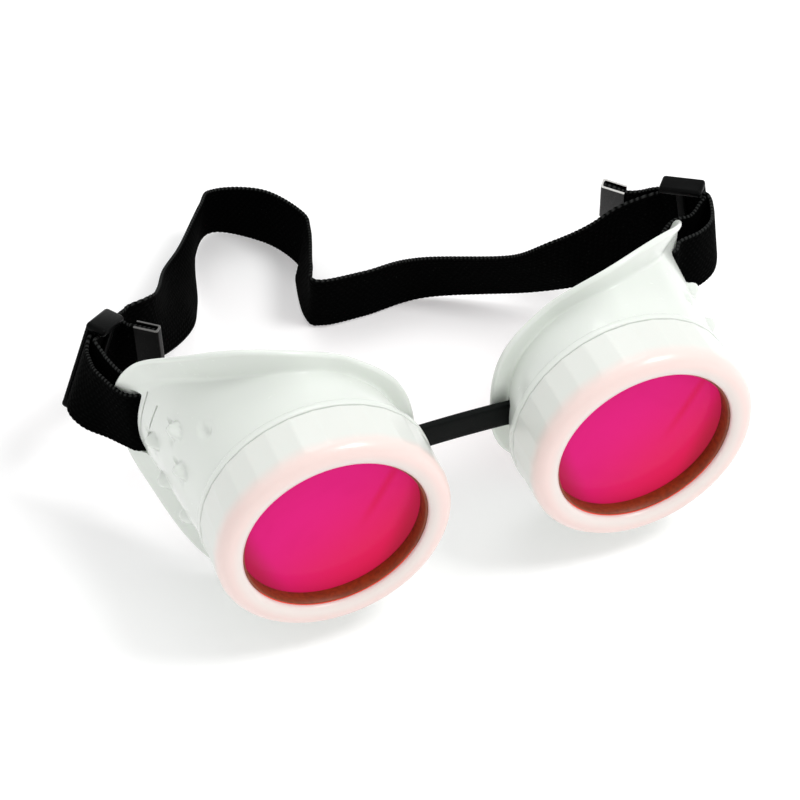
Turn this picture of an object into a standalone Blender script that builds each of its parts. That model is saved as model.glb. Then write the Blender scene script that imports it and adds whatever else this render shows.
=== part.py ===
"""Round eye-cup welding goggles: two vented cups, screw rings, tinted lenses, elastic headband.

Units are metres, +Z up, lenses facing -Y. Dimensions below are in millimetres in a working frame
whose origin lies midway between the two lens openings; PLACE moves it onto the resting plane.
"""
import math

import bmesh
import bpy
from mathutils import Matrix, Vector

MM = 0.001
PLACE = Vector((-4.0, -81.8, 39.8))    # working frame -> bounding-box bottom centre

HALF_SPACING = 40.5                    # lens axis from the middle
OPENING_R = 23.5                       # 50 mm round lens seen through a 47 mm opening
GASKET_R, GASKET_Y0, GASKET_Y1 = 25.0, 0.5, 3.45
LENS_R, LENS_Y0, LENS_Y1 = 25.0, 3.75, 5.6
RING_R, RING_BACK, RING_FRONT = 30.0, 12.8, -1.55
RING_BORE, RING_FLATS, FLAT_DEPTH = 27.6, 30, 0.3
RING_LIP_BACK = 0.2                    # back of the lip that holds the washer
FACE_R0, FACE_R1 = 25.5, 27.3          # flat front annulus of the ring
NECK_R, NECK_BORE, NECK_FRONT = 27.1, 24.2, 5.95
SHOULDER_R, SHOULDER_Y0, SHOULDER_Y1 = 30.1, 13.35, 15.2
WALL = 1.9
SEGMENTS = 72

# every 30 degrees from the temple over the top to the nose; the lower half mirrors it
WALL_END_R = (34.5, 33.0, 32.2, 32.8, 27.5, 26.4, 25.8)
WALL_END_Y = (56.5, 49.0, 33.5, 24.3, 27.4, 27.3, 26.2)
LIP_R = (38.3, 39.4, 42.6, 38.4, 31.8, 31.2, 30.3)
LIP_Y = (62.0, 54.0, 33.0, 24.1, 27.5, 27.1, 26.2)
LIP_THICK = 1.8

STRAP_W, STRAP_T, LAYER = 20.0, 1.1, 0.85     # webbing width, thickness, half pitch of a doubled run
SLOT_Z, SLOT_Y0, SLOT_Y1 = 10.8, 52.7, 55.9   # headband slot in the temple wall
NOSE_SLOT_Z, NOSE_SLOT_Y0, NOSE_SLOT_Y1 = 4.2, 21.6, 25.1
BRIDGE_W, BRIDGE_T, BRIDGE_Y, BRIDGE_ARCH = 7.2, 2.2, 23.4, 0.5
BRIDGE_HEAD_U, BRIDGE_HEAD = 23.4, (2.0, 4.2, 12.0)
VENT_R, VENT_BORE, VENT_OUT = 2.6, 1.1, 1.7
# (axial station y, height z) of the hooded vents on the temple wall, and the two slits by the slot
VENTS = ((35.2, 13.5), (42.8, 4.4), (27.2, 7.7), (37.5, -4.7), (30.0, -11.0))
SLITS = ((50.9, 3.5), (46.2, 3.5))
SLIT_H, SLIT_W = 17.0, 1.0

GLIDE_LEN, GLIDE_WID, GLIDE_BAR, GLIDE_RAIL = 26.0, 12.0, 2.4, 2.3
GLIDE_GAP, GLIDE_SHEET = 1.8, 1.4             # bar clear of the doubled webbing, bar thickness
GLIDE_PROUD = 0.25                            # rails stand this much past the bars
CLIP_LEN, CLIP_SHEET, CLIP_GAP = 6.0, 0.45, 0.35


class Side:
    """Where one side's slider stands and how its webbing runs."""

    def __init__(self, name, sign, glide, along, up, outer, inner, tail, tail_up, main_layer):
        self.name = name
        self.sign = sign
        self.glide = Vector(glide)
        self.along = Vector(along).normalized()
        self.up = Vector(up)
        self.up = (self.up - self.along * self.up.dot(self.along)).normalized()
        self.out = self.along.cross(self.up) * sign
        self.outer = outer
        self.inner = inner
        self.tail = tail
        self.tail_up = Vector(tail_up).normalized()
        self.main_layer = main_layer        # slider layer the headband enters on


UP = Vector((0.0, 0.0, 1.0))
# webbing routes: x, y, z of the centre line, share of the slider's tilt (for a tail: of its own)
LEFT = Side("left", -1, (-78.4, 82.7, -1.8), (0.60, 0.72, -0.35), (0.41, 0.11, 0.905),
            outer=((-84.4, 73.6, 0.6, 0.9), (-83.4, 68.2, 0.2, 0.6), (-80.2, 62.6, 0.0, 0.2)),
            inner=((-76.4, 65.4, 0.0, 0.2), (-79.4, 70.6, 0.2, 0.6), (-81.2, 75.0, 0.5, 0.9)),
            tail=((-71.0, 88.5, -4.9, 0.6), (-67.6, 86.6, -5.2, 0.0), (-65.6, 85.0, -5.2, 0.0),
                  (-60.9, 81.2, -5.2, 0.0)), tail_up=(0.1, -0.1, 1.0), main_layer=1)
RIGHT = Side("right", 1, (88.8, 76.0, 0.0), (-0.74, 0.66, -0.13), (-0.17, 0.0, 0.985),
             outer=((93.6, 68.6, 0.4, 0.9), (90.6, 63.2, -0.4, 0.6), (84.8, 59.6, -0.4, 0.3)),
             inner=((79.6, 66.0, 0.0, 0.2), (85.6, 66.4, 0.0, 0.5), (91.0, 70.0, 0.5, 0.9)),
             tail=((80.6, 84.1, -1.2, 0.6), (76.4, 87.7, -0.8, 0.0), (73.2, 90.45, -0.2, 0.0),
                   (71.4, 92.0, 0.1, 0.0)), tail_up=(-0.22, -0.40, 0.89), main_layer=-1)
LOOP_AT_BAR = ((36.9, 57.6), (34.6, 54.9), (31.2, 54.3), (30.4, 57.0), (33.4, 61.8))
# rear run of the headband between the sliders: x, y, z of its centre line, lean in degrees
HEADBAND = ((-72.4, 91.6, -4.9, 14), (-68.2, 94.0, -6.0, 8), (-62.4, 95.6, -7.0, 2),
            (-56.2, 100.6, -11.0, -5), (-46.8, 117.4, -20.0, -22), (-39.3, 133.7, -26.8, -12), (-30.3, 154.8, -29.1, 9),
            (-23.2, 162.6, -29.4, 12), (-9.4, 154.6, -29.5, -2), (-2.6, 140.9, -29.5, -6),
            (-4.5, 133.0, -29.4, -14), (-8.0, 118.7, -29.4, -8), (-7.0, 112.0, -29.4, 8),
            (5.8, 110.8, -29.4, 9), (24.3, 111.1, -29.4, 14), (49.2, 95.6, -23.4, 19),
            (60.4, 86.0, -14.5, 10), (68.4, 82.6, -8.0, 6), (74.4, 82.0, -3.6, 6),
            (79.6, 80.9, -1.5, 7))


def clear_scene():
    """Remove every object the file starts with."""
    for found in list(bpy.data.objects):
        bpy.data.objects.remove(found, do_unlink=True)


def material(name, colour, rough, metal=0.0, clear=0.0):
    """A Principled material, one per node."""
    made = bpy.data.materials.new(name)
    made.use_nodes = True
    shader = made.node_tree.nodes["Principled BSDF"]
    shader.inputs["Base Color"].default_value = (*colour, 1.0)
    shader.inputs["Roughness"].default_value = rough
    shader.inputs["Metallic"].default_value = metal
    shader.inputs["Transmission Weight"].default_value = clear
    return made


WHITE = dict(colour=(0.86, 0.89, 0.85), rough=0.28)
PINK = dict(colour=(0.83, 0.05, 0.24), rough=0.08, clear=0.8)
BROWN = dict(colour=(0.20, 0.05, 0.02), rough=0.6)
BLACK = dict(colour=(0.012, 0.014, 0.013), rough=0.8)
BLACK_PLASTIC = dict(colour=(0.02, 0.022, 0.021), rough=0.4)
STEEL = dict(colour=(0.72, 0.71, 0.69), rough=0.3, metal=1.0)


def finish(name, bm, look, pivot=(0.0, 0.0, 0.0)):
    """Turn a millimetre mesh into a named object whose origin is its pivot."""
    bmesh.ops.remove_doubles(bm, verts=bm.verts, dist=0.001)
    bmesh.ops.recalc_face_normals(bm, faces=bm.faces)
    home = (Vector(pivot) + PLACE) * MM
    for vert in bm.verts:
        vert.co = (vert.co + PLACE) * MM - home
    mesh = bpy.data.meshes.new(name)
    bm.to_mesh(mesh)
    bm.free()
    made = bpy.data.objects.new(name, mesh)
    made.location = home
    bpy.context.scene.collection.objects.link(made)
    made.data.materials.append(material(name, **look))
    return made


def skin(rings, ends=False):
    """Quads between point rings; without ends the last ring meets the first."""
    bm = bmesh.new()
    rows = [[bm.verts.new(point) for point in ring] for ring in rings]
    count = len(rows[0])
    pairs = list(zip(rows, rows[1:])) + ([] if ends else [(rows[-1], rows[0])])
    for lower, upper in pairs:
        for i in range(count):
            j = (i + 1) % count
            bm.faces.new((lower[i], lower[j], upper[j], upper[i]))
    if ends:
        bm.faces.new(rows[0][::-1])
        bm.faces.new(rows[-1])
    return bm


def around(values, degrees):
    """Smooth value of a mirrored 30-degree table at any angle."""
    table = list(values) + list(values[-2:0:-1])
    place = (degrees % 360.0) / 30.0
    k = int(place)
    t = place - k
    p0, p1, p2, p3 = (table[(k + i) % 12] for i in (-1, 0, 1, 2))
    return p1 + 0.5 * t * (p2 - p0 + t * (2 * p0 - 5 * p1 + 4 * p2 - p3 + t * (3 * (p1 - p2) + p3 - p0)))


def polar(side, radius, y, degrees):
    """A point at this angle round one lens axis; zero is the temple, 90 the top."""
    a = math.radians(degrees)
    return Vector((side.sign * (HALF_SPACING + radius * math.cos(a)), y, radius * math.sin(a)))


def lathe(side, profile, segments, dent=0.0):
    """Revolve a closed (radius, y) profile; a radius past FACE_R1 may be dented into flats."""
    rings = []
    for radius, y in profile:
        ring = []
        for i in range(segments):
            cut = dent if (i % 2 and radius > RING_R - 0.5 and y > 2.5) else 0.0
            ring.append(polar(side, radius - cut, y, 360.0 * i / segments))
        rings.append(ring)
    return skin(rings)


def wall_profile(degrees):
    """Closed (radius, y) section of the cup at one angle, from the neck's front round to itself."""
    end_r, end_y = around(WALL_END_R, degrees), around(WALL_END_Y, degrees)
    lip_r, lip_y = around(LIP_R, degrees), around(LIP_Y, degrees)
    start = Vector((SHOULDER_R - 0.7, SHOULDER_Y1 + 0.5))
    end, lip = Vector((end_r, end_y)), Vector((lip_r, lip_y))
    wall = end - start
    inward = Vector((-wall.y, wall.x)).normalized() * WALL
    flare = (lip - end).normalized()
    back = Vector((-flare.y, flare.x)) * LIP_THICK
    inner_end = end + inward + flare * 0.2
    inner_start = Vector((NECK_BORE + 0.9, SHOULDER_Y1 + 2.0))
    return ([(NECK_R, NECK_FRONT), (NECK_R, SHOULDER_Y0), (SHOULDER_R - 0.4, SHOULDER_Y0),
             (SHOULDER_R, SHOULDER_Y0 + 0.4), (SHOULDER_R, SHOULDER_Y1)]
            + [tuple(start + wall * t) for t in (0.0, 0.3, 0.6, 0.82, 0.93)]
            + [tuple(end + flare * 0.55), tuple(end + flare * 2.2), tuple(lip - flare * 0.7),
               tuple(lip + back * 0.3), tuple(lip + back * 0.75), tuple(lip - flare * 0.7 + back),
               tuple(end + flare * 2.2 + back), tuple(inner_end)]
            + [tuple(inner_end.lerp(inner_start, t)) for t in (0.35, 0.7, 1.0)]
            + [(NECK_BORE, SHOULDER_Y1 - 1.5), (NECK_BORE, NECK_FRONT)])


def wall_radius(y, degrees):
    """Outside radius of the cup wall at a station between its shoulder and its end."""
    end_r, end_y = around(WALL_END_R, degrees), around(WALL_END_Y, degrees)
    y0 = SHOULDER_Y1 + 0.5
    t = min(max((y - y0) / (end_y - y0), 0.0), 1.0)
    return (SHOULDER_R - 0.7) * (1 - t) + end_r * t


def on_wall(side, y, z):
    """Point on the temple wall at a station and height, with its outward direction."""
    degrees = 0.0
    for _ in range(6):
        radius = wall_radius(y, degrees)
        degrees = math.degrees(math.asin(z / radius))
    point = polar(side, radius, y, degrees)
    out = (polar(side, radius + 1.0, y, degrees) - point).normalized()
    return point, out


def box(centre, size, turn=None):
    """Axis-aligned or turned block."""
    bm = bmesh.new()
    bmesh.ops.create_cube(bm, size=1.0)
    frame = Matrix.Translation(centre) @ (turn.to_4x4() if turn else Matrix.Identity(4))
    bmesh.ops.transform(bm, matrix=frame @ Matrix.Diagonal((*size, 1.0)), verts=bm.verts)
    return bm


def combine(target, tool_mesh, operation, label):
    """Exact boolean of a hidden helper with the target, baked at once."""
    tool = finish(label, tool_mesh, BLACK)
    tool.hide_render = True
    tool.display_type = "WIRE"
    step = target.modifiers.new(label, "BOOLEAN")
    step.operation = operation
    step.solver = "EXACT"
    step.object = tool
    view = bpy.context.view_layer
    view.update()
    baked = bpy.data.meshes.new_from_object(target.evaluated_get(view.depsgraph))
    target.modifiers.clear()
    target.data = baked
    bpy.data.objects.remove(tool, do_unlink=True)


def hood(side, y, z):
    """Teardrop vent hood: a half-buried ball drawn out towards the flange."""
    point, out = on_wall(side, y, z)
    bm = bmesh.new()
    bmesh.ops.create_uvsphere(bm, u_segments=12, v_segments=8, radius=1.0)
    back = Vector((0, 1, 0))
    turn = Matrix((out, back, out.cross(back))).transposed()
    stretch = Matrix.Diagonal((VENT_OUT, VENT_R * 1.25, VENT_R * 0.85, 1.0))
    bmesh.ops.transform(bm, matrix=Matrix.Translation(point) @ turn.to_4x4() @ stretch, verts=bm.verts)
    return bm


def vent_bore(side, y, z):
    """Hole under a hood, opening towards the flange."""
    point, out = on_wall(side, y, z)
    bm = bmesh.new()
    bmesh.ops.create_cone(bm, cap_ends=True, segments=12, radius1=VENT_BORE, radius2=VENT_BORE,
                          depth=6.0)
    turn = Vector((0, 0, 1)).rotation_difference(out * 0.55 + Vector((0, 0.85, 0))).to_matrix()
    at = point + Vector((0, VENT_R * 1.0, 0)) - out * 0.3
    bmesh.ops.transform(bm, matrix=Matrix.Translation(at) @ turn.to_4x4(), verts=bm.verts)
    return bm


def cup(side):
    """Eye cup: threaded neck, shoulder, flared wall, face flange, vents and strap slots."""
    stations = [wall_profile(360.0 * i / SEGMENTS) for i in range(SEGMENTS)]
    rings = [[polar(side, *stations[i][k], 360.0 * i / SEGMENTS) for i in range(SEGMENTS)]
             for k in range(len(stations[0]))]
    body = finish(side.name + "_cup", skin(rings), WHITE)
    for number, (y, z) in enumerate(VENTS):
        combine(body, hood(side, y, z), "UNION", f"hood_{number}")
    for number, (y, z) in enumerate(VENTS):
        combine(body, vent_bore(side, y, z), "DIFFERENCE", f"bore_{number}")
    for number, (y, z) in enumerate(SLITS):
        point, out = on_wall(side, y, z)
        combine(body, box(point, (1.2, SLIT_W, SLIT_H)), "DIFFERENCE", f"slit_{number}")
    slot_x = side.sign * (HALF_SPACING + 33.0)
    slot_y = (SLOT_Y0 + SLOT_Y1) / 2
    combine(body, box(Vector((slot_x, slot_y, 0)), (12.0, SLOT_Y1 - SLOT_Y0, 2 * SLOT_Z)),
            "DIFFERENCE", "temple_slot")
    nose_x = side.sign * (HALF_SPACING - 27.0)
    nose_y = (NOSE_SLOT_Y0 + NOSE_SLOT_Y1) / 2
    combine(body, box(Vector((nose_x, nose_y, 0)),
                      (8.0, NOSE_SLOT_Y1 - NOSE_SLOT_Y0, 2 * NOSE_SLOT_Z)), "DIFFERENCE", "nose_slot")
    return body


def screw_ring(side):
    """Retaining ring with a rounded front, a flat annulus and gripping flats on its band."""
    profile = [(RING_BORE, RING_BACK), (RING_R - 0.6, RING_BACK), (RING_R - 0.15, RING_BACK - 0.4),
               (RING_R, RING_BACK - 1.2), (RING_R, 8.0), (RING_R, 3.6), (RING_R - 0.05, 1.6),
               (RING_R - 0.55, 0.1), (RING_R - 1.5, -1.0), (FACE_R1, RING_FRONT),
               (FACE_R0, RING_FRONT), (OPENING_R + 0.7, -1.2), (OPENING_R, -0.5),
               (OPENING_R, RING_LIP_BACK), (LENS_R + 0.4, RING_LIP_BACK),
               (LENS_R + 0.4, NECK_FRONT - 0.35),
               (RING_BORE, NECK_FRONT - 0.35)]
    pivot = (side.sign * HALF_SPACING, 0.0, 0.0)
    return finish(side.name + "_ring", lathe(side, profile, 2 * RING_FLATS, FLAT_DEPTH), WHITE, pivot)


def disc(side):
    """Round tinted lens with a small chamfer."""
    profile = [(LENS_R - 0.3, LENS_Y0), (LENS_R, LENS_Y0 + 0.3), (LENS_R, LENS_Y1 - 0.3),
               (LENS_R - 0.3, LENS_Y1)]
    rings = [[polar(side, r, y, 360.0 * i / 60) for i in range(60)] for r, y in profile]
    return finish(side.name + "_lens", skin(rings, ends=True), PINK,
                  (side.sign * HALF_SPACING, 0.0, 0.0))


def gasket(side):
    """Fibre washer between the ring's lip and the lens."""
    profile = [(OPENING_R, GASKET_Y0), (GASKET_R, GASKET_Y0), (GASKET_R, GASKET_Y1),
               (OPENING_R, GASKET_Y1)]
    return finish(side.name + "_gasket", lathe(side, profile, 60), BROWN,
                  (side.sign * HALF_SPACING, 0.0, 0.0))


def route(stations, per_span=6):
    """Smooth path through (point, up) stations, both as vectors."""
    ends = [(stations[0][0] * 2 - stations[1][0], stations[0][1]), *stations,
            (stations[-1][0] * 2 - stations[-2][0], stations[-1][1])]
    path = []
    for k in range(1, len(ends) - 2):
        for i in range(per_span + (k == len(ends) - 3)):
            t = i / per_span
            weights = (-0.5 * t + t * t - 0.5 * t ** 3, 1 - 2.5 * t * t + 1.5 * t ** 3,
                       0.5 * t + 2 * t * t - 1.5 * t ** 3, -0.5 * t * t + 0.5 * t ** 3)
            near = ends[k - 1:k + 3]
            path.append(tuple(sum((near[j][part] * weights[j] for j in range(4)), Vector())
                              for part in (0, 1)))
    return path


def webbing(path, width, thick):
    """Flat strip swept along a path, its width held as near to each up vector as it can be."""
    rings = []
    for i, (point, up) in enumerate(path):
        run = (path[min(i + 1, len(path) - 1)][0] - path[max(i - 1, 0)][0]).normalized()
        across = (up - run * up.dot(run)).normalized()
        w, t = across * width / 2, run.cross(across) * thick / 2
        rings.append([point - w - t, point + w - t, point + w + t, point - w + t])
    return skin(rings, ends=True)


def leaning(rows):
    """Turn (x, y, z, lean) rows into stations whose up vector leans about the run."""
    points = [Vector(row[:3]) for row in rows]
    stations = []
    for i, row in enumerate(rows):
        run = (points[min(i + 1, len(rows) - 1)] - points[max(i - 1, 0)]).normalized()
        level = (UP - run * run.z).normalized()
        lean = math.radians(row[3])
        stations.append((points[i], level * math.cos(lean) + run.cross(level) * math.sin(lean)))
    return stations


def blended(side, rows, other=UP):
    """Stations whose up vector runs from another one (0) to the slider's own (1)."""
    return [(Vector(row[:3]), other.lerp(side.up, row[3]).normalized()) for row in rows]


def in_glide(side, layer, *stops):
    """Straight stations through the slider, on its outer (+1) or inner (-1) layer."""
    return [(side.glide + side.along * s + side.out * (layer * LAYER), side.up) for s in stops]


def temple_loop(side):
    """Webbing from the slider, round the flange bar, back through the slider to its tail."""
    bar = [(side.sign * (HALF_SPACING + u), y, 0.0, 0.0) for u, y in LOOP_AT_BAR]
    round_bar = blended(side, side.outer) + blended(side, bar) + blended(side, side.inner)
    stations = (in_glide(side, side.main_layer, -0.3, -3.0, -6.2) + round_bar[::side.main_layer]
                + in_glide(side, -side.main_layer, -6.2, -3.0, 0.0, 3.0, 6.5)
                + blended(side, side.tail, side.tail_up))
    finish(side.name + "_strap_loop", webbing(route(stations), STRAP_W, STRAP_T), BLACK)
    return stations


def headband():
    """Rear run of the elastic headband from one slider to the other."""
    stations = (in_glide(LEFT, LEFT.main_layer, 0.3, 3.0, 6.5) + leaning(HEADBAND)
                + in_glide(RIGHT, RIGHT.main_layer, 6.5, 3.0, 0.3))
    finish("headband", webbing(route(stations), STRAP_W, STRAP_T), BLACK)


def glide(side):
    """Three-bar slider: outer bars over the webbing, centre bar under it, joined by rails."""
    turn = Matrix((side.along, side.up, side.out)).transposed()
    depth = 2 * (GLIDE_GAP + GLIDE_SHEET + GLIDE_PROUD)
    bar_out = GLIDE_GAP + GLIDE_SHEET / 2

    def part(s, up, out, size):
        at = side.glide + side.along * s + side.up * up + side.out * out
        return box(at, size, turn)

    rail_at = (GLIDE_LEN - GLIDE_RAIL) / 2
    body = finish(side.name + "_slider", part(0, rail_at, 0, (GLIDE_WID, GLIDE_RAIL, depth)),
                  BLACK_PLASTIC)
    pieces = [(0, -rail_at, 0, (GLIDE_WID, GLIDE_RAIL, depth))]
    reach = GLIDE_LEN - GLIDE_RAIL
    bar_s = (GLIDE_WID - GLIDE_BAR) / 2 - GLIDE_PROUD
    for s, out in ((-bar_s, bar_out), (bar_s, bar_out), (0, -bar_out)):
        pieces.append((s, 0, out, (GLIDE_BAR, reach, GLIDE_SHEET)))
    for number, piece in enumerate(pieces):
        combine(body, part(*piece), "UNION", f"bar_{number}")


def end_clip(side, stations):
    """Folded metal clip over the end of a strap's tail."""
    (before, _), (end, up) = stations[-2:]
    run = (end - before).normalized()
    across = (up - run * up.dot(run)).normalized()
    out = run.cross(across)
    near, far = STRAP_T / 2 + CLIP_GAP, STRAP_T / 2 + CLIP_GAP + CLIP_SHEET
    section = ((-CLIP_LEN, near), (-CLIP_LEN, far), (CLIP_GAP + CLIP_SHEET, far),
               (CLIP_GAP + CLIP_SHEET, -far), (-CLIP_LEN, -far), (-CLIP_LEN, -near),
               (CLIP_GAP, -near), (CLIP_GAP, near))
    half = across * (STRAP_W / 2 + CLIP_GAP)
    rings = [[end + run * s + out * o + shift for s, o in section] for shift in (-half, half)]
    finish(side.name + "_end_clip", skin(rings, ends=True), STEEL)


def bridge():
    """Moulded nose strap; its T heads sit inside the cups behind their nose slots."""
    reach = HALF_SPACING - BRIDGE_HEAD_U
    rows = [(Vector((x * reach, BRIDGE_Y, BRIDGE_ARCH * (1 - x * x))), UP)
            for x in (-1.0, -0.85, -0.5, 0.0, 0.5, 0.85, 1.0)]
    strip = finish("nose_bridge", webbing(route(rows, 3), BRIDGE_W, BRIDGE_T), BLACK_PLASTIC)
    for sign in (-1, 1):
        at = Vector((sign * (reach + BRIDGE_HEAD[0] / 2 - 0.2), BRIDGE_Y - 0.3, 0.0))
        combine(strip, box(at, BRIDGE_HEAD), "UNION", "head")


def build_side(side):
    """Every piece of one side."""
    cup(side)
    screw_ring(side)
    disc(side)
    gasket(side)
    glide(side)
    end_clip(side, temple_loop(side))


def main():
    """Build the goggles."""
    clear_scene()
    for side in (LEFT, RIGHT):
        build_side(side)
    bridge()
    headband()


main()
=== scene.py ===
"""Round eye-cup welding goggles: every visible piece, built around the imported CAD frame.

Lengths in the classes are millimetres in a working frame whose origin lies midway between the two
lens openings, X to the right, Y to the back, Z up. Maker.place moves a finished mesh into the row
frame, in metres.
"""
from __future__ import annotations

import logging
import math
from dataclasses import dataclass, field
from enum import Enum
from typing import Callable, Sequence

import bmesh
import bpy
from bpy.types import Material, Node, NodeSocket, NodeTree, Object, ShaderNodeTree
from mathutils import Matrix, Vector


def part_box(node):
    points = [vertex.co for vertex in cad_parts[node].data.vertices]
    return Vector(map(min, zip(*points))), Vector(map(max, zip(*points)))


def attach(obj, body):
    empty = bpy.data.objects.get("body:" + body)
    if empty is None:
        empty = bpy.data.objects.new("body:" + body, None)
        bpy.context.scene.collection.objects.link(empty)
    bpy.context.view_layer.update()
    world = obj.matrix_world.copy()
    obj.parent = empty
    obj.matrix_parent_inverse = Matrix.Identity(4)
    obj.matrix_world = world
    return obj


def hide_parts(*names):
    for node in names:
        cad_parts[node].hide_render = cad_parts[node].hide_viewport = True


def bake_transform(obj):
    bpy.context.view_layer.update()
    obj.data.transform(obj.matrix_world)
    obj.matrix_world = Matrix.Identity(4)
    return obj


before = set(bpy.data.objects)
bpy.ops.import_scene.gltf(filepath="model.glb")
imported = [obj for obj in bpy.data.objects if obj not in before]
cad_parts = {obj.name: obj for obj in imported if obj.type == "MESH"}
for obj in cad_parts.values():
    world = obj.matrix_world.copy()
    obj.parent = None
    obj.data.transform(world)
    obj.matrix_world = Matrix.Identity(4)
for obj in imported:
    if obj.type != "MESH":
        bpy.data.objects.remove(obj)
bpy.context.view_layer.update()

LOG = logging.getLogger("goggles")
MM = 0.001
RING_FRONT_Y = -1.55
WEAVE_MAP = "weave"
BEAD = 1.26  # length of one bead of the selvedge
UP = Vector((0.0, 0.0, 1.0))
BACK = Vector((0.0, 1.0, 0.0))
Station = tuple[Vector, Vector]
Row = tuple[float, ...]
Colour = tuple[float, float, float]


class Hand(Enum):
    """The two sides, as seen from the front."""

    LEFT = -1
    RIGHT = 1

    @property
    def label(self) -> str:
        """The name that this side's nodes and bodies start with."""
        return self.name.lower()


class Place:
    """Where the working frame lies in the row frame, read from the two rings."""

    def __init__(self) -> None:
        """Read the lens axes and the ring front from the CAD nodes."""
        left_low, left_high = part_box("left_ring")
        right_low, right_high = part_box("right_ring")
        middle = (left_low + left_high + right_low + right_high) / 4
        self.half_spacing = (right_low.x + right_high.x - left_low.x - left_high.x) / 4 / MM
        self.origin = Vector((middle.x, left_low.y - RING_FRONT_Y * MM, middle.z))

    def metres(self, point: Sequence[float]) -> Vector:
        """A working-frame point in the row frame, in metres."""
        return self.origin + Vector(point) * MM


PLACE = Place()


class Graph:
    """Short hand for building one node tree."""

    def __init__(self, tree: NodeTree) -> None:
        """Keep the tree."""
        self.tree = tree

    def node(self, kind: str, **settings: object) -> Node:
        """Add a node.

        Args:
            kind: Blender's type name without its ShaderNode prefix.
            settings: Properties, or input values under in_ and the socket's name.

        Returns:
            The node.
        """
        made = self.tree.nodes.new("ShaderNode" + kind)
        for key, value in settings.items():
            if key.startswith("in_"):
                self.feed(made.inputs[key[3:].replace("_", " ")], value)
            else:
                setattr(made, key, value)
        return made

    def feed(self, socket: NodeSocket, value: object) -> None:
        """Link a socket to an output, or give it a constant.

        Args:
            socket: The input.
            value: An output, a number, or a colour without its alpha.
        """
        if isinstance(value, NodeSocket):
            self.tree.links.new(value, socket)
        elif isinstance(value, tuple) and len(value) == 3 and len(socket.default_value) == 4:
            socket.default_value = (*value, 1.0)
        else:
            socket.default_value = value

    def math(self, operation: str, *values: object) -> NodeSocket:
        """A Math node's result.

        Args:
            operation: Blender's name for it.
            values: One or two numbers or outputs.

        Returns:
            The result's socket.
        """
        made = self.tree.nodes.new("ShaderNodeMath")
        made.operation = operation
        for socket, value in zip(made.inputs, values):
            self.feed(socket, value)
        return made.outputs[0]

    def times(self, first: object, second: object) -> NodeSocket:
        """Product of two values."""
        return self.math("MULTIPLY", first, second)

    def plus(self, first: object, second: object) -> NodeSocket:
        """Sum of two values."""
        return self.math("ADD", first, second)

    def minus(self, first: object, second: object) -> NodeSocket:
        """The first value less the second."""
        return self.math("SUBTRACT", first, second)

    def far(self, first: object, second: object) -> NodeSocket:
        """Length of a vector with these two parts."""
        return self.math("SQRT", self.plus(self.times(first, first), self.times(second, second)))

    def noise(self, vector: object, scale: object, detail: float, **more: float) -> NodeSocket:
        """Noise texture's value, with any more inputs under in_ and their names."""
        return self.node("TexNoise", in_Vector=vector, in_Scale=scale, in_Detail=detail,
                         **more).outputs[0]

    def ramp(self, value: NodeSocket, low: float, high: float) -> NodeSocket:
        """A smooth step from 0 at low to 1 at high; high may be the smaller one.

        Args:
            value: What is measured.
            low: Where the step is 0.
            high: Where the step is 1.

        Returns:
            The step's socket.
        """
        flip = low > high
        made = self.node("MapRange", interpolation_type="SMOOTHSTEP", in_Value=value)
        self.feed(made.inputs["From Min"], min(low, high))
        self.feed(made.inputs["From Max"], max(low, high))
        return self.math("SUBTRACT", 1.0, made.outputs[0]) if flip else made.outputs[0]

    def mix(self, share: object, first: object, second: object) -> NodeSocket:
        """Two colours mixed by a share.

        Args:
            share: 0 gives the first, 1 the second.
            first: A colour or an output.
            second: A colour or an output.

        Returns:
            The mixed colour's socket.
        """
        made = self.tree.nodes.new("ShaderNodeMix")
        made.data_type = "RGBA"
        self.feed(made.inputs[0], share)
        self.feed(made.inputs[6], first)
        self.feed(made.inputs[7], second)
        return made.outputs[2]

    def place(self) -> tuple[NodeSocket, NodeSocket, NodeSocket, NodeSocket]:
        """Object coordinates, in metres.

        Returns:
            The whole vector, then its three parts.
        """
        whole = self.node("TexCoord").outputs["Object"]
        split = self.node("SeparateXYZ", in_Vector=whole).outputs
        return whole, split[0], split[1], split[2]

    def reach(self, across: NodeSocket, height: NodeSocket) -> tuple[NodeSocket, NodeSocket]:
        """Distance from the nearer lens axis, and height above it.

        Args:
            across: X in the row frame.
            height: Z in the row frame.

        Returns:
            Both in metres.
        """
        middle = PLACE.metres((0.0, 0.0, 0.0))
        off = self.minus(self.math("ABSOLUTE", self.minus(across, middle.x)),
                         PLACE.half_spacing * MM)
        above = self.minus(height, middle.z)
        return self.far(off, above), above


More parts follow.
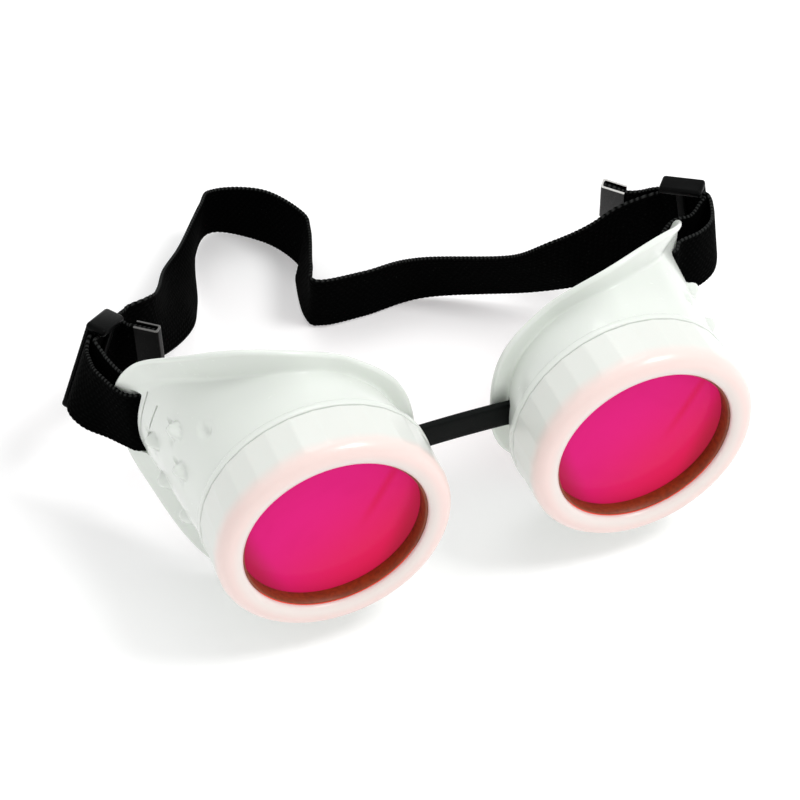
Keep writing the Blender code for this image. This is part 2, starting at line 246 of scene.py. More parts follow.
class Group:
    """A shader node group built once and placed in many materials."""

    made: dict[str, ShaderNodeTree] = {}

    def __init__(self, name: str, inputs: dict[str, float], outputs: Sequence[str],
                 build: Callable[[Graph, dict[str, NodeSocket]], dict[str, NodeSocket]]) -> None:
        """Keep what the group is.

        Args:
            name: The group's name.
            inputs: Float inputs with their defaults.
            outputs: Float outputs.
            build: Makes the inside from the input sockets and returns the output sockets.
        """
        self.name, self.inputs, self.outputs, self.build = name, inputs, outputs, build

    def tree(self) -> ShaderNodeTree:
        """The node tree, made on first use.

        Returns:
            The group's tree.
        """
        if self.name in Group.made:
            return Group.made[self.name]
        tree = bpy.data.node_groups.new(self.name, "ShaderNodeTree")
        for label, value in self.inputs.items():
            socket = tree.interface.new_socket(label, in_out="INPUT", socket_type="NodeSocketFloat")
            socket.default_value = value
        for label in self.outputs:
            tree.interface.new_socket(label, in_out="OUTPUT", socket_type="NodeSocketFloat")
        graph = Graph(tree)
        enter, leave = tree.nodes.new("NodeGroupInput"), tree.nodes.new("NodeGroupOutput")
        found = self.build(graph, {label: enter.outputs[label] for label in self.inputs})
        for label, socket in found.items():
            tree.links.new(socket, leave.inputs[label])
        Group.made[self.name] = tree
        return tree

    def use(self, graph: Graph, **values: object) -> dict[str, NodeSocket]:
        """Place the group in a material.

        Args:
            graph: The material's graph.
            values: Input values by name.

        Returns:
            The output sockets by name.
        """
        made = graph.tree.nodes.new("ShaderNodeGroup")
        made.node_tree = self.tree()
        for label, value in values.items():
            graph.feed(made.inputs[label], value)
        return {label: made.outputs[label] for label in self.outputs}


def _moulded(graph: Graph, given: dict[str, NodeSocket]) -> dict[str, NodeSocket]:
    """Soft waviness, fine skin and sparse scuffs of a moulded surface.

    Args:
        graph: The group's graph.
        given: Its input sockets by name.

    Returns:
        Its outputs by name.
    """
    whole = graph.place()[0]
    wave = graph.noise(whole, given["Wave"], 2.0)
    skin = graph.noise(whole, given["Skin"], 3.0)
    streak = graph.node("Mapping", in_Vector=whole, in_Scale=(1.0, 5.0, 2.0)).outputs[0]
    scuff = graph.noise(streak, 240.0, 6.0, in_Roughness=0.7)
    height = graph.plus(graph.times(wave, given["Waviness"]), graph.times(skin, given["Grain"]))
    return {"Height": height, "Scuff": graph.ramp(scuff, 0.60, 0.78), "Cloud": wave}


def _woven(graph: Graph, given: dict[str, NodeSocket]) -> dict[str, NodeSocket]:
    """Interlaced threads from a UV map in millimetres, u across the webbing and v along it.

    Args:
        graph: The group's graph.
        given: Its input sockets by name.

    Returns:
        Its outputs by name.
    """
    marks = graph.node("UVMap", uv_map=WEAVE_MAP).outputs[0]
    split = graph.node("SeparateXYZ", in_Vector=marks).outputs
    across = graph.math("DIVIDE", split[0], given["Across"])
    along = graph.math("DIVIDE", split[1], given["Along"])
    side = graph.times(graph.math("FLOOR", across), math.pi)
    warp = graph.math("ABSOLUTE", graph.math("SINE", graph.times(across, math.pi)))
    weft = graph.math("SINE", graph.plus(graph.times(along, math.pi), side))
    thread = graph.times(warp, graph.plus(0.62, graph.times(weft, 0.38)))
    edge = graph.ramp(graph.math("ABSOLUTE", split[0]), 9.35, 9.85)
    turn = graph.math("SINE", graph.times(split[1], 2 * math.pi / BEAD))
    knot = graph.plus(0.5, graph.times(0.5, turn))
    return {"Height": thread, "Edge": graph.times(edge, knot), "Thread": thread}


MOULDED = Group("moulded skin", {"Wave": 60.0, "Skin": 2200.0, "Waviness": 0.6, "Grain": 0.1},
                ("Height", "Scuff", "Cloud"), _moulded)
WOVEN = Group("woven threads", {"Across": 1.25, "Along": 0.95},
              ("Height", "Edge", "Thread"), _woven)


@dataclass(frozen=True)
class Finish:
    """A surface finish: one Principled material with its own detail."""

    name: str
    colour: Colour
    rough: float

    def shader(self) -> tuple[Material, Graph, Node]:
        """A fresh material in this colour and roughness.

        Returns:
            The material, its graph and its Principled node.
        """
        made = bpy.data.materials.new(self.name)
        made.use_nodes = True
        shader = made.node_tree.nodes["Principled BSDF"]
        shader.inputs["Base Color"].default_value = (*self.colour, 1.0)
        shader.inputs["Roughness"].default_value = self.rough
        return made, Graph(made.node_tree), shader

    def settle(self, shader: Node, **values: object) -> None:
        """Set the shader's own sockets, named with _ for a space."""
        for key, value in values.items():
            shader.inputs[key.replace("_", " ")].default_value = value

    def shade(self, share: float) -> Colour:
        """The colour times a share."""
        return tuple(c * share for c in self.colour)

    def wear(self, graph: Graph, shader: Node, tone: object, scuff: NodeSocket,
             worn: tuple[float, Colour, float]) -> None:
        """Scuff a tone into the base colour and roughen it there.

        Args:
            graph: The material's graph.
            shader: Its Principled node.
            tone: The unworn colour.
            scuff: Where it is worn, 0 to 1.
            worn: Share of the worn colour, that colour, and the roughness that it adds.
        """
        share, colour, rough = worn
        graph.feed(shader.inputs["Base Color"],
                   graph.mix(graph.times(scuff, share), tone, colour))
        graph.feed(shader.inputs["Roughness"], graph.plus(self.rough, graph.times(scuff, rough)))

    def bump(self, graph: Graph, shader: Node, height: NodeSocket, depth: float,
             strength: float = 1.0) -> None:
        """Feed a height to the shader's normal; depth in metres."""
        made = graph.node("Bump", in_Height=height, in_Distance=depth, in_Strength=strength)
        graph.tree.links.new(made.outputs[0], shader.inputs["Normal"])


@dataclass(frozen=True)
class CupPlastic(Finish):
    """Soft glossy white vinyl with a faint cool green cast."""

    worn: tuple[float, Colour, float] = (0.12, (0.68, 0.70, 0.66), 0.05)

    def build(self) -> Material:
        """Make the material.

        Returns:
            The finished material.
        """
        made, graph, shader = self.shader()
        skin = MOULDED.use(graph, Wave=45.0, Skin=1600.0, Waviness=1.0, Grain=0.04)
        tone = graph.mix(skin["Cloud"], self.colour, self.shade(0.965))
        self.wear(graph, shader, tone, skin["Scuff"], self.worn)
        self.settle(shader, Coat_Weight=0.25, Coat_Roughness=0.12, Subsurface_Weight=0.25,
                    Subsurface_Radius=(0.9, 1.0, 0.85), Subsurface_Scale=0.0012)
        self.bump(graph, shader, skin["Height"], 0.00006)
        return made


@dataclass(frozen=True)
class RingPlastic(Finish):
    """The same vinyl, with the lens's pink light painted on as a pale rose where the ring turns
    over to its front.
    """

    # painted light: the lens's pink glow on the ring's front
    rose: Colour
    turn_y: float
    fade: tuple[float, float] = (0.0068, 0.0018)     # behind the front: none, full
    outward: tuple[float, float] = (0.0245, 0.0272)  # radius: weak, full
    weak: float = 0.45
    worn: tuple[float, Colour, float] = (0.2, (0.66, 0.62, 0.6), 0.2)

    def build(self) -> Material:
        """Make the material.

        Returns:
            The finished material.
        """
        made, graph, shader = self.shader()
        _, across, depth, height = graph.place()
        reach = graph.reach(across, height)[0]
        skin = MOULDED.use(graph, Wave=70.0, Skin=1800.0, Waviness=0.8, Grain=0.04)
        # painted light from the lens: strongest at the front and towards the outside, fading
        # backwards
        front = graph.ramp(graph.plus(depth, graph.times(skin["Cloud"], 0.0016)),
                           self.turn_y + self.fade[0], self.turn_y + self.fade[1])
        outer = graph.times(graph.ramp(reach, *self.outward), 1.0 - self.weak)
        front = graph.times(front, graph.plus(self.weak, outer))
        tone = graph.mix(front, self.colour, self.rose)
        self.wear(graph, shader, tone, skin["Scuff"], self.worn)
        self.settle(shader, Coat_Weight=0.2, Coat_Roughness=0.15, Subsurface_Weight=0.2,
                    Subsurface_Radius=(1.0, 0.85, 0.85), Subsurface_Scale=0.001)
        self.bump(graph, shader, skin["Height"], 0.00005)
        return made


@dataclass(frozen=True)
class TintedGlass(Finish):
    """Magenta welding glass lit by a painted glow, redder towards one low side, with painted shade
    at its sides and rim; glossy, with faint smears.
    """

    centre: tuple[float, float]
    radius: float = 0.0235
    low_red: Colour = (0.80, 0.0195, 0.088)
    # painted shade: darker red at the lens's lower sides
    side_shade_red: Colour = (0.51, 0.026, 0.055)
    streak_red: Colour = (0.72, 0.010, 0.055)
    smear_red: Colour = (0.66, 0.008, 0.15)
    # painted shade: darker red at the lens's rim
    rim_shading_red: Colour = (0.45, 0.0, 0.06)

    def build(self) -> Material:
        """Make the material.

        Returns:
            The finished material.
        """
        made, graph, shader = self.shader()
        whole, across, _, height = graph.place()
        u = graph.math("DIVIDE", graph.minus(across, self.centre[0]), self.radius)
        v = graph.math("DIVIDE", graph.minus(height, self.centre[1]), self.radius)
        slant = graph.minus(graph.times(u, 0.6), graph.times(v, 0.8))
        side = graph.minus(graph.math("ABSOLUTE", u), graph.times(v, 0.35))
        line = graph.plus(graph.times(v, 0.55), 0.42)
        off = graph.math("ABSOLUTE", graph.minus(u, line))
        along = graph.math("ABSOLUTE", graph.minus(v, 0.3))
        streak = graph.times(graph.ramp(off, 0.10, 0.0), graph.ramp(along, 0.6, 0.1))
        smear = graph.noise(whole, 55.0, 2.0, in_Distortion=0.8)
        tone = graph.mix(graph.ramp(slant, -0.5, 1.15), self.colour, self.low_red)
        # the sides and the rim are painted darker as shade
        for mask, share, red in ((graph.ramp(side, 0.72, 1.0), 0.75, self.side_shade_red),
                                 (streak, 0.5, self.streak_red),
                                 (graph.ramp(smear, 0.52, 0.72), 0.16, self.smear_red),
                                 (graph.ramp(graph.far(u, v), 0.72, 1.02), 0.10, self.rim_shading_red)):
            tone = graph.mix(graph.times(mask, share), tone, red)
        # the whole tone is painted light: the lens glows with it as emission over a darkened base
        graph.feed(shader.inputs["Base Color"], graph.mix(0.55, tone, (0.0, 0.0, 0.0)))
        graph.feed(shader.inputs["Emission Color"], tone)
        self.settle(shader, Transmission_Weight=0.03, Specular_IOR_Level=0.015,
                    Emission_Strength=0.5)
        self.bump(graph, shader, graph.noise(whole, 30.0, 1.0), 0.00001, 0.4)
        return made


@dataclass(frozen=True)
class Fibre(Finish):
    """Vulcanised fibre washer with a painted red highlight along its edge low against the ring's
    lip.
    """

    rim_r: float
    # painted highlight along the washer's outer edge, low down
    rim_shading_red: Colour = (0.85, 0.05, 0.02)

    def build(self) -> Material:
        """Make the material.

        Returns:
            The finished material.
        """
        made, graph, shader = self.shader()
        whole, across, _, height = graph.place()
        fleck = graph.noise(whole, 900.0, 5.0)
        tone = graph.mix(graph.ramp(fleck, 0.35, 0.7), self.colour, self.shade(0.7))
        reach, above = graph.reach(across, height)
        # painted highlight: a bright red line along the outer edge, low down
        rim = graph.times(graph.ramp(reach, self.rim_r - 0.0001, self.rim_r),
                          graph.ramp(above, -0.010, -0.015))
        graph.feed(shader.inputs["Base Color"], graph.mix(rim, tone, self.rim_shading_red))
        self.bump(graph, shader, fleck, 0.00006)
        return made


@dataclass(frozen=True)
class ElasticWebbing(Finish):
    """Black knitted elastic with lengthwise ribs, cross picks and a paler selvedge, with shade and
    highlight painted along the threads.
    """

    selvedge: Colour = (0.045, 0.047, 0.046)

    def build(self) -> Material:
        """Make the material.

        Returns:
            The finished material.
        """
        made, graph, shader = self.shader()
        weave = WOVEN.use(graph, Across=1.25, Along=0.95)
        fuzz = graph.noise(graph.place()[0], 2600.0, 4.0)
        # painted shade between the threads and painted highlight on their crests
        tone = graph.mix(graph.times(weave["Thread"], 0.6), self.shade(0.35), self.shade(2.0))
        tone = graph.mix(graph.times(weave["Edge"], 0.6), tone, self.selvedge)
        graph.feed(shader.inputs["Base Color"], tone)
        graph.feed(shader.inputs["Roughness"],
                   graph.minus(self.rough, graph.times(weave["Thread"], 0.12)))
        self.settle(shader, Specular_IOR_Level=0.012)
        self.bump(graph, shader, graph.plus(weave["Height"], graph.times(fuzz, 0.35)), 0.00022)
        return made


@dataclass(frozen=True)
class DarkMoulding(Finish):
    """Black moulded plastic or rubber."""

    gloss: float
    worn: tuple[float, Colour, float] = (0.3, (0.02, 0.021, 0.021), 0.2)

    def build(self) -> Material:
        """Make the material.

        Returns:
            The finished material.
        """
        made, graph, shader = self.shader()
        skin = MOULDED.use(graph, Wave=180.0, Skin=2600.0, Waviness=0.5, Grain=0.5)
        self.wear(graph, shader, self.colour, skin["Scuff"], self.worn)
        self.settle(shader, Specular_IOR_Level=self.gloss)
        self.bump(graph, shader, skin["Height"], 0.00008)
        return made


@dataclass(frozen=True)
class ClipMetal(Finish):
    """Sheet whose faces are painted near-black as their dark reflection, with bright metal at its
    cut edges.
    """

    # painted reflection: the near-black that the faces mirror
    dark: Colour = (0.001, 0.001, 0.0009)
    cut: tuple[float, float] = (9.95, 10.15)  # across the webbing: all dark, all bright

    def build(self) -> Material:
        """Make the material.

        Returns:
            The finished material.
        """
        made, graph, shader = self.shader()
        brushed = graph.node("Mapping", in_Vector=graph.place()[0],
                             in_Scale=(1.0, 1.0, 0.06)).outputs[0]
        line = graph.noise(brushed, 3500.0, 3.0)
        marks = graph.node("UVMap", uv_map=WEAVE_MAP).outputs[0]
        across = graph.node("SeparateXYZ", in_Vector=marks).outputs[0]
        edge = graph.ramp(graph.math("ABSOLUTE", across), *self.cut)
        bright = graph.mix(graph.ramp(line, 0.3, 0.75), self.colour, self.shade(0.72))
        graph.feed(shader.inputs["Metallic"], edge)
        # faces get the painted dark reflection, cut edges the metal
        graph.feed(shader.inputs["Base Color"], graph.mix(edge, self.dark, bright))
        graph.feed(shader.inputs["Roughness"], graph.plus(self.rough, graph.times(line, 0.15)))
        self.settle(shader, Specular_IOR_Level=0.05)
        self.bump(graph, shader, line, 0.00002)
        return made


class Maker:
    """Turns a millimetre bmesh into a dressed object that rides on the frame."""

    @staticmethod
    def place(name: str, bm: bmesh.types.BMesh, sharp_degrees: float = 38.0,
              recalc: bool = True) -> Object:
        """Move a mesh to the row frame and make it an object.

        Args:
            name: The object's name.
            bm: The mesh, in millimetres; it is freed.
            sharp_degrees: Edges sharper than this stay hard.
            recalc: Whether to turn all faces outwards.

        Returns:
            The object, at the origin.
        """
        bmesh.ops.remove_doubles(bm, verts=bm.verts, dist=0.0004)
        if recalc:
            bmesh.ops.recalc_face_normals(bm, faces=bm.faces)
        for vert in bm.verts:
            vert.co = PLACE.metres(vert.co)
        mesh = bpy.data.meshes.new(name)
        bm.to_mesh(mesh)
        bm.free()
        for polygon in mesh.polygons:
            polygon.use_smooth = True
        mesh.set_sharp_from_angle(angle=math.radians(sharp_degrees))
        made = bpy.data.objects.new(name, mesh)
        bpy.context.scene.collection.objects.link(made)
        return made

    @staticmethod
    def dress(made: Object, finish: Material, body: str | None, node: str) -> Object:
        """Give a piece its finish and its body, and hide the CAD node that it stands for.

        Args:
            made: The piece.
            finish: Its material.
            body: The body that it rides on, or None for a piece that spans two.
            node: The CAD node that it replaces.

        Returns:
            The piece.
        """
        made.data.materials.clear()
        made.data.materials.append(finish)
        if body:
            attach(made, body)
        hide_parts(node)
        LOG.info("%s: %d faces", made.name, len(made.data.polygons))
        return made

    @staticmethod
    def carve(body: Object, cutters: list[bmesh.types.BMesh], operation: str) -> None:
        """Exact boolean of a piece, still at the origin, with closed millimetre meshes.

        Args:
            body: The piece, which keeps its name.
            cutters: Closed meshes that don't touch each other.
            operation: UNION or DIFFERENCE.
        """
        joined = bmesh.new()
        for cutter in cutters:
            mesh = bpy.data.meshes.new("cutter")
            bmesh.ops.recalc_face_normals(cutter, faces=cutter.faces)
            cutter.to_mesh(mesh)
            cutter.free()
            joined.from_mesh(mesh)
            bpy.data.meshes.remove(mesh)
        tool = Maker.place("cutter", joined, recalc=False)
        step = body.modifiers.new("carve", "BOOLEAN")
        step.operation = operation
        step.solver = "EXACT"
        step.object = tool
        view = bpy.context.view_layer
        view.update()
        baked = bpy.data.meshes.new_from_object(body.evaluated_get(view.depsgraph))
        body.modifiers.clear()
        old, body.data = body.data, baked
        baked.set_sharp_from_angle(angle=math.radians(38.0))
        bpy.data.meshes.remove(old)
        bpy.data.objects.remove(tool, do_unlink=True)

    @staticmethod
    def section(points: Sequence[Sequence[float]], closed: bool = True) -> bmesh.types.BMesh:
        """A chain of edges through points, each vertex carrying its number.

        Args:
            points: Places in the working frame.
            closed: Whether the last meets the first.

        Returns:
            A mesh of edges with an integer vertex layer named station.
        """
        bm = bmesh.new()
        layer = bm.verts.layers.int.new("station")
        verts = []
        for number, point in enumerate(points):
            vert = bm.verts.new(point)
            vert[layer] = number
            verts.append(vert)
        for one, other in zip(verts, verts[1:] + (verts[:1] if closed else [])):
            bm.edges.new((one, other))
        return bm

    @staticmethod
    def turned(points: Sequence[tuple[float, float]], steps: int) -> bmesh.types.BMesh:
        """A closed (radius, y) section spun round the Y axis.

        Args:
            points: The section.
            steps: Steps in a turn.

        Returns:
            The turned mesh, with its station layer.
        """
        bm = Maker.section([(r, y, 0.0) for r, y in points])
        bmesh.ops.spin(bm, geom=bm.verts[:] + bm.edges[:], axis=-BACK, cent=(0, 0, 0),
                       angle=2 * math.pi, steps=steps, use_merge=True)
        return bm

    @staticmethod
    def swept(rings: Sequence[Sequence[Vector]],
              marks: Callable[[int, int], tuple[float, float]] | None = None) -> bmesh.types.BMesh:
        """Extrude a closed loop from ring to ring and cap it.

        Args:
            rings: Loops of points, all of one length.
            marks: Gives (u, v) of a point from its ring and its place in the ring.

        Returns:
            A closed mesh, with a UV map named weave if marks is given.
        """
        bm = Maker.section(rings[0])
        station = bm.verts.layers.int["station"]
        ring_no = bm.verts.layers.int.new("ring")
        first = bm.edges[:]
        loop = first
        for number, ring in enumerate(rings[1:], 1):
            made = bmesh.ops.extrude_edge_only(bm, edges=loop)["geom"]
            for vert in (g for g in made if isinstance(g, bmesh.types.BMVert)):
                vert.co = ring[vert[station]]
                vert[ring_no] = number
            fresh = {g for g in made if isinstance(g, bmesh.types.BMEdge)}
            loop = [e for e in fresh if e.verts[0][ring_no] == e.verts[1][ring_no] == number]
        for ends in (first, loop):
            bmesh.ops.contextual_create(bm, geom=ends)
        if marks:
            layer = bm.loops.layers.uv.new(WEAVE_MAP)
            for face in bm.faces:
                for corner in face.loops:
                    corner[layer].uv = marks(corner.vert[ring_no], corner.vert[station])
        return bm

    @staticmethod
    def block(centre: Vector, size: Sequence[float], turn: Matrix | None = None,
              round_by: float = 0.0) -> bmesh.types.BMesh:
        """A block, turned and with rounded edges if asked.

        Args:
            centre: Its middle.
            size: Its three edge lengths.
            turn: How its axes lie.
            round_by: Radius of its edges.

        Returns:
            The closed mesh.
        """
        bm = bmesh.new()
        bmesh.ops.create_cube(bm, size=1.0)
        bmesh.ops.scale(bm, vec=Vector(size), verts=bm.verts)
        if round_by:
            bmesh.ops.bevel(bm, geom=bm.edges[:], offset=round_by, segments=3, profile=0.5,
                            affect="EDGES", material=-1)
        frame_at = Matrix.Translation(centre) @ (turn.to_4x4() if turn else Matrix.Identity(4))
        bmesh.ops.transform(bm, matrix=frame_at, verts=bm.verts)
        return bm


def smooth_step(value: float) -> float:
    """Zero below 0, one above 1, smooth between.

    Args:
        value: Where on the step.

    Returns:
        Its height there.
    """
    t = min(max(value, 0.0), 1.0)
    return t * t * (3 - 2 * t)


@dataclass
class EyeCup:
    """Vented cup: threaded neck, shoulder, flared wall and face flange."""

    hand: Hand
    steps: int = 300
    neck: tuple[float, float, float] = (27.1, 24.2, 5.95)         # outside, bore, front
    shoulder: tuple[float, float, float] = (30.1, 13.35, 15.2)    # radius, front, back
    wall: float = 1.9
    wall_steps: int = 56
    bend_steps: int = 8
    bend_from: float = 0.94                                       # share of the wall
    inner_steps: int = 10
    # every 30 degrees from the temple over the top to the nose
    wall_r: Row = (34.5, 33.0, 32.2, 32.8, 27.5, 26.4, 25.8)
    wall_y: Row = (56.5, 49.0, 33.5, 24.3, 27.4, 27.3, 26.2)
    lip_r: Row = (38.3, 39.4, 42.6, 38.4, 31.8, 31.2, 30.3)
    lip_y: Row = (62.0, 54.0, 33.0, 24.1, 27.5, 27.1, 26.2)
    lip_thick: float = 1.8
    vents: tuple[Row, ...] = ((35.2, 13.5), (42.8, 4.4), (27.2, 7.7), (37.5, -4.7), (30.0, -11.0))
    vent_size: tuple[float, float, float] = (2.8, 2.0, 2.3)      # along, across, height
    hood_back: float = 0.62                                       # share of its length
    hood_front: float = 1.25
    hood_taper: float = 0.35                                      # narrowing towards the front
    hood_dome: float = 0.8                                        # 1 is a paraboloid
    # dents as (y, z, half length, half width, depth), and the one under each hood from the hood
    dimples: tuple[Row, ...] = ((26.2, 20.0, 3.4, 2.2, 1.15),)
    shade: Row = (-0.6, -3.0, 1.8, 1.3, 0.5)
    hole: tuple[float, float] = (0.85, 5.0)                       # radius, length
    slit_cut: tuple[float, float, float] = (0.28, 1.1, 1.4)       # half width, in, out
    relief_on: range = range(9, 68)                               # section points that they move
    # each slit as (y, z) points
    slits: tuple[tuple[Row, ...], ...] = (
        ((51.0, 13.0), (50.7, 8.0), (50.8, 3.0), (51.2, -2.0), (51.9, -6.0)),
        ((45.4, 13.0), (45.5, 9.0), (46.1, 4.0), (47.8, -1.7), (49.8, -6.5)))
    # webbing and nose slot as (offset to the temple, depth, front, back, half height, corner)
    slots: tuple[Row, ...] = ((33.0, 12.0, 52.7, 55.9, 10.8, 0.5),
                              (-27.0, 8.0, 21.6, 25.1, 4.2, 0.3))

    @staticmethod
    def around(values: Row, degrees: float) -> float:
        """Smooth value of a mirrored 30-degree table at any angle.

        Args:
            values: The table from 0 to 180 degrees.
            degrees: The angle.

        Returns:
            The value there.
        """
        table = list(values) + list(values[-2:0:-1])
        place = (degrees % 360.0) / 30.0
        k = int(place)
        t = place - k
        p0, p1, p2, p3 = (table[(k + i) % 12] for i in (-1, 0, 1, 2))
        return p1 + 0.5 * t * (p2 - p0 + t * (2 * p0 - 5 * p1 + 4 * p2 - p3
                                              + t * (3 * (p1 - p2) + p3 - p0)))

    def profile(self, degrees: float) -> list[tuple[float, float]]:
        """Closed (radius, y) section of the cup at one angle, finely stepped and rounded.

        Args:
            degrees: The angle round the lens axis.

        Returns:
            The section's points.
        """
        neck_r, bore, neck_y = self.neck
        should_r, should_0, should_1 = self.shoulder
        start = Vector((should_r - 0.7, should_1 + 0.5))
        end = Vector((self.around(self.wall_r, degrees), self.around(self.wall_y, degrees)))
        lip = Vector((self.around(self.lip_r, degrees), self.around(self.lip_y, degrees)))
        wall = end - start
        inward = Vector((-wall.y, wall.x)).normalized() * self.wall
        flare = (lip - end).normalized()
        back = Vector((-flare.y, flare.x)) * self.lip_thick
        inner_end = end + inward + flare * 0.2
        inner_start = Vector((bore + 0.9, should_1 + 2.0))
        points = [(neck_r, neck_y), (neck_r, should_0 - 0.1), (neck_r + 0.1, should_0),
                  (should_r - 0.45, should_0), (should_r - 0.15, should_0 + 0.12),
                  (should_r, should_0 + 0.45), (should_r, should_1 - 0.25),
                  (should_r - 0.12, should_1), (should_r - 0.5, should_1 + 0.22)]
        points += [tuple(start + wall * (self.bend_from * i / self.wall_steps))
                   for i in range(self.wall_steps + 1)]
        for i in range(1, self.bend_steps + 1):
            t = i / self.bend_steps
            points.append(tuple((1 - t) ** 2 * (start + wall * self.bend_from)
                                + 2 * t * (1 - t) * end + t * t * (end + flare * 1.6)))
        points += [tuple(end + flare * 2.4), tuple(lip - flare * 1.2)]
        middle = lip - flare * 0.9 + back * 0.5
        for i in range(self.bend_steps + 1):
            turn = math.pi * i / self.bend_steps
            points.append(tuple(middle + flare * 0.9 * math.sin(turn)
                                - back * 0.5 * math.cos(turn)))
        points += [tuple(end + flare * 2.4 + back), tuple(inner_end + flare * 0.8)]
        points += [tuple(inner_end.lerp(inner_start, t / self.inner_steps))
                   for t in range(1, self.inner_steps + 1)]
        points += [(bore, should_1 - 1.5), (bore, neck_y)]
        return points

    def wall_radius(self, y: float, degrees: float) -> float:
        """Outside radius of the wall at a station.

        Args:
            y: The station.
            degrees: The angle round the lens axis.

        Returns:
            The radius.
        """
        end_r, end_y = self.around(self.wall_r, degrees), self.around(self.wall_y, degrees)
        y0 = self.shoulder[2] + 0.5
        t = min(max((y - y0) / (end_y - y0), 0.0), 1.0)
        return (self.shoulder[0] - 0.7) * (1 - t) + end_r * t

    def polar(self, radius: float, y: float, degrees: float) -> Vector:
        """A point round the lens axis; zero is the temple, 90 the top.

        Args:
            radius: Distance from the axis.
            y: The station.
            degrees: The angle.

        Returns:
            The point.
        """
        a = math.radians(degrees)
        return Vector((self.hand.value * (PLACE.half_spacing + radius * math.cos(a)), y,
                       radius * math.sin(a)))

    def on_wall(self, y: float, z: float) -> tuple[Vector, Vector]:
        """Point on the temple wall at a station and height, with its outward direction.

        Args:
            y: The station.
            z: The height above the lens axis.

        Returns:
            The point and the direction.
        """
        degrees = 0.0
        for _ in range(6):
            radius = self.wall_radius(y, degrees)
            degrees = math.degrees(math.asin(z / radius))
        point = self.polar(radius, y, degrees)
        return point, (self.polar(radius + 1.0, y, degrees) - point).normalized()

    def relief(self, y: float, degrees: float, radius: float) -> float:
        """How far the outside stands proud of the plain wall: hoods less dimples.

        Args:
            y: The station.
            degrees: The angle round the lens axis.
            radius: The plain wall there.

        Returns:
            The height; negative in a dimple.
        """
        arc = (degrees + 180.0) % 360.0 - 180.0
        if abs(arc) > 80.0:
            return 0.0
        z = radius * math.sin(math.radians(arc))
        proud = 0.0
        long, wide, high = self.vent_size
        for vent_y, vent_z in self.vents:
            a, b = y - vent_y, z - vent_z
            reach = long * (self.hood_back if a > 0 else self.hood_front)
            narrow = wide * (1.0 if a > 0 else 1.0 + self.hood_taper * a / (self.hood_front * long))
            d = math.hypot(a / reach, b / max(narrow, 0.4))
            if d < 1.0:
                proud = max(proud, high * (1 - d * d) ** self.hood_dome)
        shades = tuple((vent_y + self.shade[0], vent_z + self.shade[1], *self.shade[2:])
                       for vent_y, vent_z in self.vents)
        for dent_y, dent_z, half_y, half_z, deep in self.dimples + shades:
            d = math.hypot((y - dent_y) / half_y, (z - dent_z) / half_z)
            proud -= deep * (1 - smooth_step(d))
        return proud

    def bore(self, y: float, z: float) -> bmesh.types.BMesh:
        """Hole under a hood, opening towards the flange.

        Args:
            y: The hood's station.
            z: The hood's height.

        Returns:
            A closed cutter.
        """
        point, out = self.on_wall(y, z)
        bm = bmesh.new()
        radius, length = self.hole
        bmesh.ops.create_cone(bm, cap_ends=True, segments=20, radius1=radius, radius2=radius,
                              depth=length)
        turn = UP.rotation_difference(out * 0.40 + BACK * 0.9).to_matrix().to_4x4()
        at = Matrix.Translation(point + BACK * (length / 2) + out * 0.35)
        bmesh.ops.transform(bm, matrix=at @ turn, verts=bm.verts)
        return bm

    def slit(self, rows: Sequence[Row]) -> bmesh.types.BMesh:
        """Curved cutter for one narrow slit.

        Args:
            rows: (y, z) points along it.

        Returns:
            A closed cutter.
        """
        path = Route([self.on_wall(y, z) for y, z in rows]).even(0.8)
        half, deep, high = self.slit_cut
        rings = []
        for i, (point, out) in enumerate(path):
            run = Route.heading(path, i)
            side = run.cross(out).normalized() * half
            rings.append([point - side - out * deep, point + side - out * deep,
                          point + side + out * high, point - side + out * high])
        return Maker.swept(rings)

    def build(self, finish: Material) -> Object:
        """Make and dress the cup.

        Args:
            finish: The cup's plastic.

        Returns:
            The cup.
        """
        bm = Maker.turned(self.profile(0.0), self.steps)
        layer = bm.verts.layers.int["station"]
        sections: dict[int, list[tuple[float, float]]] = {}
        for vert in bm.verts:
            degrees = math.degrees(math.atan2(vert.co.z, vert.co.x)) % 360.0
            key = round(degrees * self.steps / 360.0) % self.steps
            if key not in sections:
                sections[key] = self.profile(360.0 * key / self.steps)
            radius, y = sections[key][vert[layer]]
            if vert[layer] in self.relief_on:
                radius += self.relief(y, 360.0 * key / self.steps, radius)
            vert.co = self.polar(radius, y, 360.0 * key / self.steps)
        cup = Maker.place(self.hand.label + "_cup_shell", bm)
        cutters = [self.slit(rows) for rows in self.slits]
        for off, deep, y0, y1, half_z, corner in self.slots:
            at = Vector((self.hand.value * (PLACE.half_spacing + off), (y0 + y1) / 2, 0.0))
            cutters.append(Maker.block(at, (deep, y1 - y0, 2 * half_z), round_by=corner))
        Maker.carve(cup, cutters, "DIFFERENCE")
        Maker.carve(cup, [self.bore(*vent) for vent in self.vents], "DIFFERENCE")
        return Maker.dress(cup, finish, self.hand.label + "_frame", self.hand.label + "_cup")


